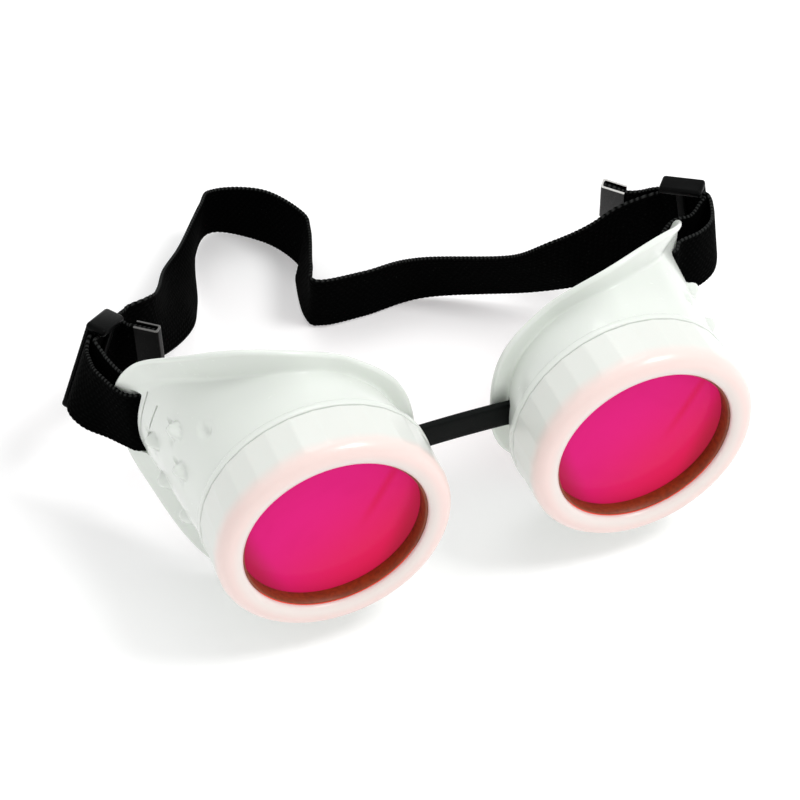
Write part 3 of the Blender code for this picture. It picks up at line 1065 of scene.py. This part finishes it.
@dataclass
class ScrewRing:
    """Retaining ring with a rounded front and gripping flats that run out into it."""

    hand: Hand
    steps: int = 360
    flats: int = 30
    flat_radius: float = 29.72
    flats_from: tuple[float, float] = (29.0, -0.5)                # radius, y
    profile: tuple[Row, ...] = (
        (27.6, 13.15), (29.7, 13.15), (29.9, 13.1), (29.98, 12.95), (30.0, 12.6), (30.0, 9.0),
        (30.0, 6.4), (30.0, 4.4), (29.99, 3.2), (29.93, 2.2), (29.78, 1.3), (29.52, 0.5),
        (29.12, -0.25), (28.6, -0.85), (27.95, -1.28), (27.2, -1.5), (26.4, -1.55), (25.6, -1.5),
        (24.9, -1.36), (24.3, -1.12), (23.85, -0.82), (23.58, -0.5), (23.5, -0.2), (23.5, 0.2),
        (25.4, 0.2), (25.4, 5.6), (27.6, 5.6))

    def build(self, finish: Material) -> Object:
        """Make and dress the ring.

        Args:
            finish: Its material.

        Returns:
            The piece.
        """
        bm = Maker.turned(self.profile, self.steps)
        half = math.pi / self.flats
        for vert in bm.verts:
            angle = math.atan2(vert.co.z, vert.co.x)
            radius = math.hypot(vert.co.x, vert.co.z)
            if radius > self.flats_from[0] and vert.co.y > self.flats_from[1]:
                off = (angle + half) % (2 * half) - half
                radius = min(radius, self.flat_radius / math.cos(off))
            vert.co.x = self.hand.value * (PLACE.half_spacing + radius * math.cos(angle))
            vert.co.z = radius * math.sin(angle)
        made = Maker.place(self.hand.label + "_screw_ring_shell", bm, sharp_degrees=30.0)
        return Maker.dress(made, finish, self.hand.label + "_screw_ring", self.hand.label + "_ring")


@dataclass
class LensStack:
    """Fibre washer and tinted lens held between the ring's lip and the neck."""

    hand: Hand
    lens: tuple[float, float, float] = (25.0, 4.25, 5.6)          # radius, front, back
    washer: tuple[float, float, float, float] = (22.9, 25.0, 0.3, 4.1)  # inner, outer, front, back
    lens_edge: float = 0.3
    washer_edge: float = 0.15

    def build_lens(self, finish: Material) -> Object:
        """Make and dress the lens.

        Args:
            finish: Its material.

        Returns:
            The piece.
        """
        radius, front, back = self.lens
        bm = bmesh.new()
        bmesh.ops.create_cone(bm, cap_ends=True, segments=128, radius1=radius, radius2=radius,
                              depth=back - front)
        rims = [e for e in bm.edges if abs(e.verts[0].co.z - e.verts[1].co.z) < 1e-6]
        bmesh.ops.bevel(bm, geom=rims, offset=self.lens_edge, segments=3, profile=0.5,
                        affect="EDGES", material=-1)
        bmesh.ops.rotate(bm, matrix=Matrix.Rotation(math.pi / 2, 3, "X"), verts=bm.verts)
        at = Vector((self.hand.value * PLACE.half_spacing, (front + back) / 2, 0.0))
        bmesh.ops.translate(bm, vec=at, verts=bm.verts)
        made = Maker.place(self.hand.label + "_tinted_lens", bm, sharp_degrees=25.0)
        return Maker.dress(made, finish, self.hand.label + "_lens_stack", self.hand.label + "_lens")

    def build_washer(self, finish: Material) -> Object:
        """Make and dress the washer.

        Args:
            finish: Its material.

        Returns:
            The piece.
        """
        inner, outer, front, back = self.washer
        edge = self.washer_edge
        bm = Maker.turned([(inner, front + edge), (inner + edge, front), (outer, front),
                           (outer, back), (inner + edge, back), (inner, back - edge)], 180)
        bmesh.ops.translate(bm, vec=Vector((self.hand.value * PLACE.half_spacing, 0, 0)),
                            verts=bm.verts)
        made = Maker.place(self.hand.label + "_fibre_washer", bm, sharp_degrees=50.0)
        return Maker.dress(made, finish, self.hand.label + "_lens_stack",
                           self.hand.label + "_gasket")


class Route:
    """A smooth path through (point, up) stations."""

    def __init__(self, stations: Sequence[Station]) -> None:
        """Keep the stations."""
        self.stations = list(stations)

    def dense(self, per_span: int = 24) -> list[Station]:
        """Catmull-Rom points through the stations.

        Args:
            per_span: Points from one station to the next.

        Returns:
            The finer path.
        """
        known = self.stations
        ends = [(known[0][0] * 2 - known[1][0], known[0][1]), *known,
                (known[-1][0] * 2 - known[-2][0], known[-1][1])]
        path = []
        for k in range(1, len(ends) - 2):
            for i in range(per_span + (k == len(ends) - 3)):
                t = i / per_span
                weights = (-0.5 * t + t * t - 0.5 * t ** 3, 1 - 2.5 * t * t + 1.5 * t ** 3,
                           0.5 * t + 2 * t * t - 1.5 * t ** 3, -0.5 * t * t + 0.5 * t ** 3)
                near = ends[k - 1:k + 3]
                path.append(tuple(sum((near[j][part] * weights[j] for j in range(4)), Vector())
                                  for part in (0, 1)))
        return path

    def even(self, spacing: float) -> list[Station]:
        """The same path in steps of about this length.

        Args:
            spacing: The length.

        Returns:
            The even path.
        """
        path = self.dense()
        marks = [0.0]
        for one, other in zip(path, path[1:]):
            marks.append(marks[-1] + (other[0] - one[0]).length)
        count = max(2, round(marks[-1] / spacing))
        even, k = [], 0
        for i in range(count + 1):
            want = marks[-1] * i / count
            while k < len(marks) - 2 and marks[k + 1] < want:
                k += 1
            t = (want - marks[k]) / max(marks[k + 1] - marks[k], 1e-9)
            even.append((path[k][0].lerp(path[k + 1][0], t), path[k][1].lerp(path[k + 1][1], t)))
        return even

    @staticmethod
    def heading(path: Sequence[Station], i: int) -> Vector:
        """Direction of travel at a path point."""
        return (path[min(i + 1, len(path) - 1)][0] - path[max(i - 1, 0)][0]).normalized()


@dataclass
class Webbing:
    """Elastic webbing: a ribbed strip with a beaded selvedge, swept along a route."""

    width: float = 20.0
    thick: float = 1.1
    ribs: int = 15
    rib_height: float = 0.09
    per_rib: int = 4
    step: float = 0.42
    margin: float = 0.6  # how much of each side the selvedge takes
    pull: float = 0.22   # how far it draws in between beads

    def across(self) -> list[tuple[float, float]]:
        """Closed section with ribs on both faces.

        Returns:
            Points as (across, proud).
        """
        count = self.ribs * self.per_rib
        half = self.width / 2 - 0.35
        top = []
        for i in range(count + 1):
            u = -half + 2 * half * i / count
            rib = abs(math.sin(math.pi * self.ribs * i / count))
            top.append((u, self.thick / 2 - self.rib_height * (1 - rib)))
        edge = [(self.width / 2 - 0.1, self.thick * 0.28), (self.width / 2, 0.0),
                (self.width / 2 - 0.1, -self.thick * 0.28)]
        under = [(u, -t) for u, t in reversed(top)]
        return top + edge + under + [(-u, t) for u, t in reversed(edge)]

    def mesh(self, stations: Sequence[Station]) -> bmesh.types.BMesh:
        """The strip's mesh along its stations.

        Args:
            stations: The route of its middle.

        Returns:
            A closed mesh with its weave map.
        """
        path = Route(stations).even(self.step)
        section = self.across()
        rings = []
        for i, (point, up) in enumerate(path):
            run = Route.heading(path, i)
            side = (up - run * up.dot(run)).normalized()
            out = run.cross(side)
            pull = self.pull * (1 - abs(math.sin(math.pi * i * self.step / BEAD)))
            pinch = 1 - pull / (self.width / 2)
            inside = self.width / 2 - self.margin
            rings.append([point + side * (u * pinch if abs(u) > inside else u) + out * t
                          for u, t in section])
        return Maker.swept(rings, lambda ring, k: (section[k][0], ring * self.step))


@dataclass
class StrapSide:
    """One side's slider, the webbing that threads it and the clip on its tail."""

    hand: Hand
    glide: Row
    along: Row
    up_hint: Row
    outer: tuple[Row, ...]
    inner: tuple[Row, ...]
    tail: tuple[Row, ...]
    tail_hint: Row
    main_layer: int
    layer: float = 0.85
    bar_route: tuple[Row, ...] = ((36.9, 57.6), (34.6, 54.9), (31.2, 54.3), (30.4, 57.0),
                                  (33.4, 61.8))
    size: tuple[float, float] = (26.0, 12.0)
    bar: float = 2.4   # width of each of the three bars
    rail: float = 2.3  # width of the rails that join their ends
    gap: float = 1.65  # from the slider's middle to a bar's inner face
    sheet: float = 1.1
    proud: float = 0.15
    bulge: float = 2.7
    clip: tuple[float, float, float] = (6.0, 0.45, 0.35)          # length, sheet, gap
    webbing: Webbing = field(default_factory=Webbing)

    def __post_init__(self) -> None:
        """Square up the slider's axes."""
        self.centre = Vector(self.glide)
        self.run = Vector(self.along).normalized()
        hint = Vector(self.up_hint)
        self.up = (hint - self.run * hint.dot(self.run)).normalized()
        self.out = self.run.cross(self.up) * self.hand.value
        self.tail_up = Vector(self.tail_hint).normalized()

    def in_glide(self, layer: int, *stops: float) -> list[Station]:
        """Stations through the slider; the outer layer (+1) bulges between the outer bars.

        Args:
            layer: +1 outside the middle bar, -1 inside it.
            stops: Distances from the middle bar along the webbing.

        Returns:
            The stations.
        """
        stations = []
        for s in stops:
            swell = self.bulge * (1 - smooth_step(abs(s) / 3.1)) if layer > 0 else 0.0
            stations.append((self.centre + self.run * s + self.out * (layer * self.layer + swell),
                             self.up.copy()))
        return stations

    def blended(self, rows: Sequence[Row], other: Vector = UP) -> list[Station]:
        """Stations whose up vector runs from another one (0) to the slider's own (1)."""
        return [(Vector(row[:3]), other.lerp(self.up, row[3]).normalized()) for row in rows]

    def loop_stations(self) -> list[Station]:
        """From the slider, round the flange bar, back through the slider to the tail.

        Returns:
            The stations of the whole loop.
        """
        bar = [(self.hand.value * (PLACE.half_spacing + u), y, 0.0, 0.0) for u, y in self.bar_route]
        around = self.blended(self.outer) + self.blended(bar) + self.blended(self.inner)
        return (self.in_glide(self.main_layer, -0.06, -1.0, -2.0, -3.1, -6.2)
                + around[::self.main_layer]
                + self.in_glide(-self.main_layer, -6.2, -3.1, -1.6, 0.0, 1.6, 3.1, 6.5)
                + self.blended(self.tail, self.tail_up))

    def build_loop(self, finish: Material) -> Object:
        """Make and dress the webbing loop.

        Args:
            finish: Its material.

        Returns:
            The piece.
        """
        made = Maker.place(self.hand.label + "_webbing_loop",
                           self.webbing.mesh(self.loop_stations()), sharp_degrees=60.0)
        return Maker.dress(made, finish, self.hand.label + "_frame",
                           self.hand.label + "_strap_loop")

    def build_slider(self, finish: Material) -> Object:
        """Make and dress the three-bar slider.

        Args:
            finish: Its material.

        Returns:
            The piece.
        """
        turn = Matrix((self.run, self.up, self.out)).transposed()
        depth = 2 * (self.gap + self.sheet + self.proud)
        bar_out = self.gap + self.sheet / 2
        length, width = self.size
        rail_at = (length - self.rail) / 2
        reach = length - self.rail
        bar_s = (width - self.bar) / 2 - self.proud

        def part(s: float, up: float, out: float, size: Row) -> bmesh.types.BMesh:
            """A bar or rail at a place on the slider's own axes."""
            at = self.centre + self.run * s + self.up * up + self.out * out
            return Maker.block(at, size, turn, round_by=min(size) * 0.42)

        made = Maker.place(self.hand.label + "_three_bar_slider",
                           part(0, rail_at, 0, (width, self.rail, depth)))
        pieces = [(0, -rail_at, 0, (width, self.rail, depth))]
        for s, out in ((-bar_s, bar_out), (bar_s, bar_out), (0, -bar_out)):
            pieces.append((s, 0, out, (self.bar, reach, self.sheet)))
        for piece in pieces:
            Maker.carve(made, [part(*piece)], "UNION")
        return Maker.dress(made, finish, self.hand.label + "_glide", self.hand.label + "_slider")

    def build_clip(self, finish: Material) -> Object:
        """Make and dress the folded clip over the end of the tail.

        Args:
            finish: Its material.

        Returns:
            The piece.
        """
        path = Route(self.loop_stations()).dense(6)
        end, up = path[-1]
        run = Route.heading(path, len(path) - 1)
        across = (up - run * up.dot(run)).normalized()
        out = run.cross(across)
        long, sheet, gap = self.clip
        near = self.webbing.thick / 2 + gap
        far = near + sheet
        fold = [(gap + (near + sheet) * 0.5 * math.sin(a), far * math.cos(a))
                for a in (math.pi * k / 8 for k in range(9))]
        inside = [(gap * math.sin(a), near * math.cos(a))
                  for a in (math.pi * k / 6 for k in range(7))]
        section = ([(-long, near), (-long, far)] + fold + [(-long, -far), (-long, -near)]
                   + inside[::-1])
        half = self.webbing.width / 2 + gap
        shifts = (-half, -half + 0.25, 0.0, half - 0.25, half)
        rings = [[end + run * min(s, gap + sheet) + out * o + across * shift for s, o in section]
                 for shift in shifts]
        bm = Maker.swept(rings, lambda ring, k: (shifts[ring], section[k][0]))
        made = Maker.place(self.hand.label + "_tail_clip", bm, sharp_degrees=40.0)
        return Maker.dress(made, finish, self.hand.label + "_frame", self.hand.label + "_end_clip")


@dataclass
class Headband:
    """Rear run of the elastic headband from one slider to the other."""

    left: StrapSide
    right: StrapSide
    # x, y, z of the centre line and lean in degrees
    rows: tuple[Row, ...] = (
        (-72.4, 91.6, -4.9, 14), (-68.2, 94.0, -6.0, 8), (-62.4, 95.6, -7.0, 2),
        (-56.2, 100.6, -11.0, -5), (-46.8, 117.4, -20.0, -22), (-39.3, 133.7, -26.8, -12),
        (-30.3, 154.8, -29.1, 9), (-23.2, 162.6, -29.4, 12), (-9.4, 154.6, -29.5, -2),
        (-2.6, 140.9, -29.5, -6), (-4.5, 133.0, -29.4, -14), (-8.0, 118.7, -29.4, -8),
        (-7.0, 112.0, -29.4, 8), (5.8, 110.8, -29.4, 9), (24.3, 111.1, -29.4, 14),
        (49.2, 95.6, -23.4, 19), (60.4, 86.0, -14.5, 10), (68.4, 82.6, -8.0, 6),
        (74.4, 82.0, -3.6, 6), (79.6, 80.9, -1.5, 7))

    def leaning(self) -> list[Station]:
        """The rows as stations whose up vector leans about the run.

        Returns:
            The stations from left to right.
        """
        points = [Vector(row[:3]) for row in self.rows]
        stations = []
        for i, row in enumerate(self.rows):
            run = (points[min(i + 1, len(points) - 1)] - points[max(i - 1, 0)]).normalized()
            level = (UP - run * run.z).normalized()
            lean = math.radians(row[3])
            stations.append((points[i], level * math.cos(lean) + run.cross(level) * math.sin(lean)))
        return stations

    def build(self, finish: Material) -> Object:
        """Make the band that runs between the two cups, on no body.

        Args:
            finish: Its material.

        Returns:
            The piece.
        """
        left, right = self.left, self.right
        stations = (left.in_glide(left.main_layer, 0.06, 1.0, 2.0, 3.1, 6.5) + self.leaning()
                    + right.in_glide(right.main_layer, 6.5, 3.0, 0.06))
        made = Maker.place("elastic_headband", left.webbing.mesh(stations), sharp_degrees=60.0)
        Maker.dress(made, finish, None, "headband")
        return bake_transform(made)


@dataclass
class NoseStrap:
    """Moulded nose strap with a T head behind each nose slot."""

    width: float = 7.2
    thick: float = 2.2
    y: float = 23.4
    arch: float = 0.5
    corners: int = 24           # points round its section
    squareness: float = 0.35    # 1 is an ellipse, 0 a rectangle
    head_u: float = 23.4
    head: tuple[float, float, float] = (2.0, 4.2, 12.0)

    def build(self, finish: Material) -> Object:
        """Make the strap that runs between the two cups, on no body.

        Args:
            finish: Its material.

        Returns:
            The piece.
        """
        reach = PLACE.half_spacing - self.head_u
        rows = [(Vector((x * reach, self.y, self.arch * (1 - x * x))), UP.copy())
                for x in (-1.0, -0.85, -0.5, 0.0, 0.5, 0.85, 1.0)]
        path = Route(rows).even(0.8)
        outline = []
        for k in range(self.corners):
            a = 2 * math.pi * k / self.corners
            c, s = math.cos(a), math.sin(a)
            outline.append((math.copysign(abs(c) ** self.squareness, c) * self.width / 2,
                            math.copysign(abs(s) ** self.squareness, s) * self.thick / 2))
        rings = []
        for i, (point, up) in enumerate(path):
            run = Route.heading(path, i)
            side = (up - run * up.dot(run)).normalized()
            rings.append([point + side * w + run.cross(side) * t for w, t in outline])
        made = Maker.place("moulded_nose_strap", Maker.swept(rings), sharp_degrees=45.0)
        for hand in Hand:
            at = Vector((hand.value * (reach + self.head[0] / 2 - 0.2), self.y - 0.3, 0.0))
            Maker.carve(made, [Maker.block(at, self.head, round_by=0.4)], "UNION")
        Maker.dress(made, finish, None, "nose_bridge")
        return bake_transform(made)


@dataclass
class Studio:
    """Pale floor, soft light and the camera."""

    target: Row = (-23.73, 0.0, 39.16)
    azimuth: float = -19.99
    elevation: float = 44.22
    roll: float = -1.18
    distance: float = 506.8
    floor_tone: Colour = (0.90, 0.90, 0.90)
    floor_glow: float = 0.16
    floor_radius: float = 6.0
    surround: float = 0.80
    # each soft box as (name, place in metres, diameter, power)
    boxes: tuple[tuple[str, Row, float, float], ...] = (
        ("key", (0.45, -0.35, 0.9), 0.35, 4.4),
        ("fill", (-0.8, -0.5, 0.6), 0.7, 0.3),
        ("top", (0.1, 0.5, 1.1), 0.6, 1.7))

    def camera(self) -> None:
        """Stand the camera off its target."""
        a, e, r = (math.radians(v) for v in (self.azimuth, self.elevation, self.roll))
        back = Vector((math.sin(a) * math.cos(e), -math.cos(a) * math.cos(e), math.sin(e)))
        right = Vector((math.cos(a), math.sin(a), 0.0))
        up = back.cross(right)
        right, up = (right * math.cos(r) + up * math.sin(r), up * math.cos(r) - right * math.sin(r))
        data = bpy.data.cameras.new("camera")
        data.lens, data.sensor_width, data.clip_start = 100.0, 36.0, 0.01
        made = bpy.data.objects.new("camera", data)
        bpy.context.scene.collection.objects.link(made)
        turn = Matrix((right, up, back)).transposed().to_4x4()
        at = PLACE.metres(self.target) + back * self.distance * MM
        made.matrix_world = Matrix.Translation(at) @ turn
        bpy.context.scene.camera = made

    def floor(self) -> None:
        """A wide pale disc under the goggles."""
        bm = bmesh.new()
        bmesh.ops.create_circle(bm, cap_ends=True, segments=96, radius=self.floor_radius)
        mesh = bpy.data.meshes.new("floor")
        bm.to_mesh(mesh)
        bm.free()
        made = bpy.data.objects.new("floor", mesh)
        bpy.context.scene.collection.objects.link(made)
        paint, _, shader = Finish("floor paint", self.floor_tone, 0.9).shader()
        shader.inputs["Specular IOR Level"].default_value = 0.1
        shader.inputs["Emission Color"].default_value = (1.0, 1.0, 1.0, 1.0)
        shader.inputs["Emission Strength"].default_value = self.floor_glow
        made.data.materials.append(paint)

    def light(self) -> None:
        """A bright even surround and soft boxes."""
        world = bpy.data.worlds.new("surround")
        world.use_nodes = True
        world.node_tree.nodes["Background"].inputs["Color"].default_value = (1.0, 1.0, 1.0, 1.0)
        world.node_tree.nodes["Background"].inputs["Strength"].default_value = self.surround
        bpy.context.scene.world = world
        for name, at, size, power in self.boxes:
            data = bpy.data.lights.new(name, "AREA")
            data.shape = "DISK"
            data.size, data.energy = size, power
            made = bpy.data.objects.new(name, data)
            bpy.context.scene.collection.objects.link(made)
            made.matrix_world = (Matrix.Translation(at)
                                 @ Vector(at).to_track_quat("Z", "Y").to_matrix().to_4x4())

    def build(self) -> None:
        """Set up the camera, the floor and the light, with colours shown as they are."""
        bpy.context.scene.view_settings.view_transform = "Standard"
        self.camera()
        self.floor()
        self.light()


LEFT_STRAP = dict(
    hand=Hand.LEFT, glide=(-78.4, 82.7, -1.8), along=(0.60, 0.72, -0.35),
    up_hint=(0.41, 0.11, 0.905),
    outer=((-84.4, 73.6, 0.6, 0.9), (-83.4, 68.2, 0.2, 0.6), (-80.2, 62.6, 0.0, 0.2)),
    inner=((-76.4, 65.4, 0.0, 0.2), (-79.4, 70.6, 0.2, 0.6), (-81.2, 75.0, 0.5, 0.9)),
    tail=((-71.0, 88.5, -4.9, 0.6), (-67.6, 86.6, -5.2, 0.0), (-65.6, 85.0, -5.2, 0.0),
          (-60.9, 81.2, -5.2, 0.0)), tail_hint=(0.1, -0.1, 1.0), main_layer=1)
RIGHT_STRAP = dict(
    hand=Hand.RIGHT, glide=(88.8, 76.0, 0.0), along=(-0.74, 0.66, -0.13),
    up_hint=(-0.17, 0.0, 0.985),
    outer=((93.6, 68.6, 0.4, 0.9), (90.6, 63.2, -0.4, 0.6), (84.8, 59.6, -0.4, 0.3)),
    inner=((79.6, 66.0, 0.0, 0.2), (85.6, 66.4, 0.0, 0.5), (91.0, 70.0, 0.5, 0.9)),
    tail=((80.6, 84.1, -1.2, 0.6), (76.4, 87.7, -0.8, 0.0), (73.2, 90.45, -0.2, 0.0),
          (71.4, 92.0, 0.1, 0.0)), tail_hint=(-0.22, -0.40, 0.89), main_layer=-1)

# brightness of each clip's cut edges, the left one's painted darker as shade
CLIP_EDGE_SHADING = {Hand.LEFT: 0.16, Hand.RIGHT: 0.78}


def main() -> None:
    """Build the studio and every piece of the goggles."""
    Studio().build()
    cup_paint = CupPlastic("white vinyl", (0.73, 0.765, 0.72), 0.26).build()
    ring_front = PLACE.metres((0.0, RING_FRONT_Y, 0.0)).y
    # the ring's rose is painted light from the lens
    ring_paint = RingPlastic("ring vinyl", (0.72, 0.74, 0.70), 0.3, (0.83, 0.665, 0.625),
                             ring_front).build()
    fibre = Fibre("fibre washer", (0.225, 0.038, 0.0035), 0.5, 0.0233).build()
    elastic = ElasticWebbing("black elastic", (0.0007, 0.00085, 0.0008), 0.9).build()
    slider_paint = DarkMoulding("slider moulding", (0.0016, 0.0018, 0.0018), 0.34, 0.045).build()
    rubber = DarkMoulding("nose strap moulding", (0.003, 0.004, 0.0037), 0.5, 0.06).build()
    sides = []
    for hand, sizes in ((Hand.LEFT, LEFT_STRAP), (Hand.RIGHT, RIGHT_STRAP)):
        EyeCup(hand).build(cup_paint)
        ScrewRing(hand).build(ring_paint)
        middle = PLACE.metres((hand.value * PLACE.half_spacing, 0.0, 0.0))
        glass = TintedGlass(hand.label + " welding glass", (0.80, 0.0175, 0.222), 0.06,
                            (middle.x, middle.z)).build()
        stack = LensStack(hand)
        stack.build_lens(glass)
        stack.build_washer(fibre)
        strap = StrapSide(**sizes)
        strap.build_loop(elastic)
        strap.build_slider(slider_paint)
        # the left clip's cut edges are painted darker as shade
        bright = CLIP_EDGE_SHADING[hand]
        strap.build_clip(ClipMetal(hand.label + " clip sheet",
                                   (bright, bright * 0.99, bright * 0.96), 0.22).build())
        sides.append(strap)
    Headband(*sides).build(elastic)
    NoseStrap().build(rubber)


if __name__ == "__main__":
    logging.basicConfig(level=logging.INFO, format="%(name)s %(message)s")
    main()
